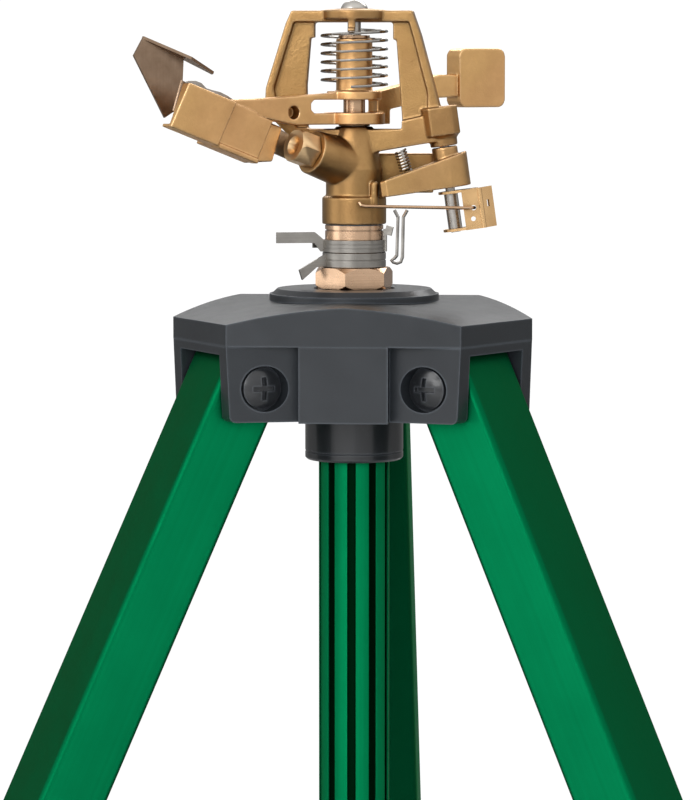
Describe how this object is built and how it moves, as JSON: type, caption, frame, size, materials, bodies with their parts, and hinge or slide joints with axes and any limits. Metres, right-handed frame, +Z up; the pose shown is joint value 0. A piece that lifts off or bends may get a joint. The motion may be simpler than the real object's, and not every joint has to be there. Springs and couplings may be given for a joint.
{
  "type": "tripod impact sprinkler",
  "caption": "Brass impact sprinkler head with swing arm, deflector and part-circle trip on a moulded hub with a fluted riser and folding telescopic legs.",
  "frame": {"origin": "mouth of the hose inlet, on the riser's axis; the feet stand 150 mm lower", "axes": "+Z up along the riser's axis, the front (the wide hub face between the two front legs) towards -Y"},
  "size_m": [0.5284, 0.4632, 0.6268],
  "materials": {
    "hub_plastic": "satin moulded",
    "black_plastic": "gloss moulded",
    "leg_green": "gloss powder coat on aluminium",
    "cast_brass": "cast, lightly blasted",
    "turned_brass": "turned, pink-gold",
    "sheet_brass": "rolled sheet",
    "stainless": "drawn and rolled stainless",
    "rubber_black": "matt"
  },
  "bodies": {
    "stand": {"hub": "hub_plastic", "hub_insert": "turned_brass", "riser_collar": "black_plastic", "riser_pipe": "leg_green", "inlet_coupling": "black_plastic", "bearing_sleeve": "turned_brass", "pivot_screw_left": "black_plastic", "pivot_screw_right": "black_plastic", "pivot_screw_rear": "black_plastic", "pivot_nut_left": "black_plastic", "pivot_nut_right": "black_plastic", "pivot_nut_rear": "black_plastic"},
    "hose_end": {"hose_nut": "turned_brass", "hose_washer": "rubber_black"},
    "leg_left": {"upper_leg_left": "leg_green", "leg_plug_left": "black_plastic", "lock_collar_left": "black_plastic"},
    "slide_left": {"lower_leg_left": "leg_green", "foot_left": "rubber_black"},
    "lock_left": {"lock_lever_left": "black_plastic"},
    "leg_right": {"upper_leg_right": "leg_green", "leg_plug_right": "black_plastic", "lock_collar_right": "black_plastic"},
    "slide_right": {"lower_leg_right": "leg_green", "foot_right": "rubber_black"},
    "lock_right": {"lock_lever_right": "black_plastic"},
    "leg_rear": {"upper_leg_rear": "leg_green", "leg_plug_rear": "black_plastic", "lock_collar_rear": "black_plastic"},
    "slide_rear": {"lower_leg_rear": "leg_green", "foot_rear": "rubber_black"},
    "lock_rear": {"lock_lever_rear": "black_plastic"},
    "head": {"body_casting": "cast_brass", "bearing_tube": "turned_brass", "bearing_spring": "stainless", "bearing_washers": "black_plastic", "nozzle": "turned_brass", "fulcrum_pin": "stainless", "arm_spring": "stainless", "deflector_strip": "stainless", "deflector_screw": "stainless", "trip_pin": "stainless"},
    "arm": {"swing_arm": "cast_brass", "arm_bushing": "turned_brass"},
    "flap": {"deflector_flap": "stainless"},
    "trip": {"trip_lever": "cast_brass", "trip_spring": "stainless"},
    "rocker": {"trip_bracket": "sheet_brass", "trip_wire": "turned_brass", "trip_finger": "stainless"},
    "collar_upper": {"stop_collar_upper": "stainless"},
    "collar_lower": {"stop_collar_lower": "stainless"}
  },
  "joints": [
    {"name": "hose_nut_turn", "type": "hinge", "parent": "stand", "child": "hose_end", "pos_m": [0, 0, 0.01], "axis": [0, 0, 1], "continuous": true},
    {"name": "leg_fold_left", "type": "hinge", "parent": "stand", "child": "leg_left", "pos_m": [-0.04114, -0.02375, 0.3412], "axis": [0.5, -0.866, 0], "range_deg": [0, 25.5]},
    {"name": "leg_extend_left", "type": "slide", "parent": "leg_left", "child": "slide_left", "axis": [-0.3728, -0.2153, -0.9026], "range_m": [0, 0.22]},
    {"name": "leg_lock_left", "type": "hinge", "parent": "leg_left", "child": "lock_left", "pos_m": [-0.17565, -0.10141, 0.05853], "axis": [0.5, -0.866, 0], "range_deg": [0, 110]},
    {"name": "leg_fold_right", "type": "hinge", "parent": "stand", "child": "leg_right", "pos_m": [0.04114, -0.02375, 0.3412], "axis": [0.5, 0.866, 0], "range_deg": [0, 25.5]},
    {"name": "leg_extend_right", "type": "slide", "parent": "leg_right", "child": "slide_right", "axis": [0.3728, -0.2153, -0.9026], "range_m": [0, 0.22]},
    {"name": "leg_lock_right", "type": "hinge", "parent": "leg_right", "child": "lock_right", "pos_m": [0.17565, -0.10141, 0.05853], "axis": [0.5, 0.866, 0], "range_deg": [0, 110]},
    {"name": "leg_fold_rear", "type": "hinge", "parent": "stand", "child": "leg_rear", "pos_m": [0, 0.0475, 0.3412], "axis": [-1, 0, 0], "range_deg": [0, 25.5]},
    {"name": "leg_extend_rear", "type": "slide", "parent": "leg_rear", "child": "slide_rear", "axis": [0, 0.4305, -0.9026], "range_m": [0, 0.22]},
    {"name": "leg_lock_rear", "type": "hinge", "parent": "leg_rear", "child": "lock_rear", "pos_m": [0, 0.20282, 0.05853], "axis": [-1, 0, 0], "range_deg": [0, 110]},
    {"name": "head_swivel", "type": "hinge", "parent": "stand", "child": "head", "pos_m": [0, 0, 0.39], "axis": [0, 0, 1], "continuous": true},
    {"name": "arm_swing", "type": "hinge", "parent": "head", "child": "arm", "pos_m": [0, 0, 0.45], "axis": [0, 0, 1], "range_deg": [0, 90], "stiffness_Nm_per_rad": 0.05, "springref_deg": -28.65},
    {"name": "deflector_turn", "type": "hinge", "parent": "head", "child": "flap", "pos_m": [-0.05969, -0.03689, 0.43919], "axis": [0.2384, 0.1966, 0.9511], "range_deg": [-35, 0]},
    {"name": "trip_rock", "type": "hinge", "parent": "head", "child": "rocker", "pos_m": [0.03413, -0.00032, 0.411], "axis": [-0.1387, -0.0109, 0.9903], "range_deg": [0, 8]},
    {"name": "trip_lever_turn", "type": "hinge", "parent": "head", "child": "trip", "pos_m": [0.03413, -0.00032, 0.411], "axis": [-0.1387, -0.0109, 0.9903], "range_deg": [0, 12]},
    {"name": "collar_upper_turn", "type": "hinge", "parent": "stand", "child": "collar_upper", "pos_m": [0, 0, 0.389], "axis": [0, 0, 1], "range_deg": [-20, 20]},
    {"name": "collar_lower_turn", "type": "hinge", "parent": "stand", "child": "collar_lower", "pos_m": [0, 0, 0.384], "axis": [0, 0, 1], "range_deg": [-20, 20]}
  ],
  "couplings": [
    {"joint": "trip_rock", "follows": "trip_lever_turn", "ratio": 0.6666}
  ]
}
